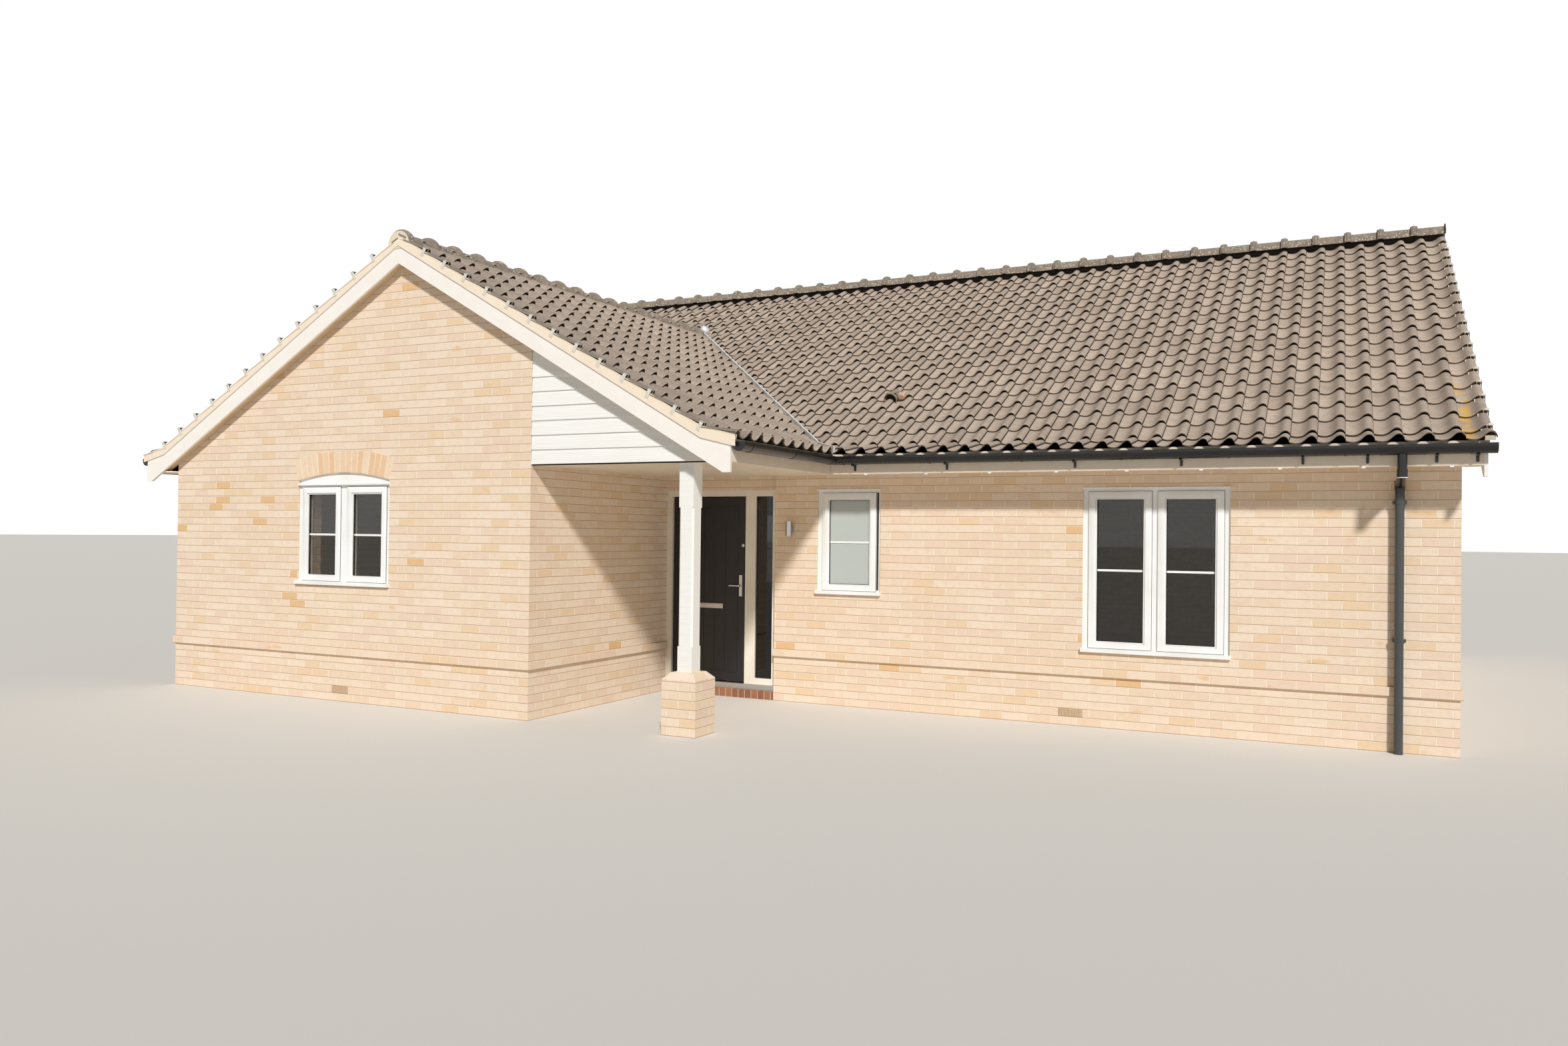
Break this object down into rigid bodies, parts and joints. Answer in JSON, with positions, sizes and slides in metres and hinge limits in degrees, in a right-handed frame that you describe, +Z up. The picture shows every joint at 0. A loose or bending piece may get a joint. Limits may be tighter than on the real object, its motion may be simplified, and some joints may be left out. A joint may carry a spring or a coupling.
{
  "type": "bungalow",
  "caption": "Brick bungalow with a gabled front wing, an open corner porch on a brick pier, pantiled roofs, white windows and a black front door that opens",
  "frame": {"origin": "The origin is on the ground under the middle of the house's box", "axes": "Z is up, the front door and the wing's gable face -Y, and X runs to the right along the front"},
  "size_m": [12.81, 11.695, 5.3001],
  "materials": {
    "buff_brick": "light buff facing bricks with some orange ones, pale flush mortar",
    "concrete": "plain floated concrete",
    "step_brick": "brown brick on edge",
    "roof_tiles": "weathered brown grey concrete pantiles with lichen",
    "ridge_tiles": "weathered half round ridge tiles",
    "white_timber": "white painted timber, slightly worn",
    "white_boards": "white shiplap boards",
    "cream_boards": "cream painted boards",
    "black_gutter": "black gutters and pipes with a soft gloss",
    "white_frames": "smooth white window and door frames",
    "window_glass": "double glazing, clear with soft reflections",
    "black_door": "near black door with a satin finish",
    "door_metal": "satin metal handle and letter plate",
    "threshold_metal": "plain metal threshold",
    "light_metal": "brushed steel wall light"
  },
  "bodies": {
    "house": {"floor_slab": "concrete", "front_gable_wall": "buff_brick", "porch_side_wall": "buff_brick", "wall_over_door": "buff_brick", "main_front_wall": "buff_brick", "right_gable_wall": "buff_brick", "rear_wall": "buff_brick", "left_flank_wall": "buff_brick", "porch_pier": "buff_brick", "porch_post": "white_timber", "porch_boards": "white_boards", "porch_ceiling": "cream_boards", "main_roof_front": "roof_tiles", "main_roof_left": "roof_tiles", "main_roof_rear": "roof_tiles", "wing_roof_left": "roof_tiles", "wing_roof_right": "roof_tiles", "main_ridge": "ridge_tiles", "wing_ridge": "ridge_tiles", "front_bargeboard": "white_timber", "end_bargeboards": "white_timber", "front_fascias": "cream_boards", "rear_fascias": "cream_boards", "eaves_soffits": "cream_boards", "front_gutter": "black_gutter", "rear_gutters": "black_gutter", "front_downpipe": "black_gutter", "rear_downpipes": "black_gutter", "wing_window_frame": "white_frames", "main_window_frames": "white_frames", "rear_window_frames": "white_frames", "end_window_frames": "white_frames", "front_window_glass": "window_glass", "rear_window_glass": "window_glass", "end_window_glass": "window_glass", "door_frame": "white_frames", "side_light_glass": "window_glass", "door_threshold": "threshold_metal", "door_step": "step_brick", "wall_light": "light_metal"},
    "door": {"door_leaf": "black_door", "door_furniture": "door_metal"}
  },
  "joints": [
    {"name": "front_door_hinge", "type": "hinge", "parent": "house", "child": "door", "pos_m": [-1.084, -3.3295, 1.108], "axis": [0, 0, 1], "range_deg": [0, 90]}
  ]
}
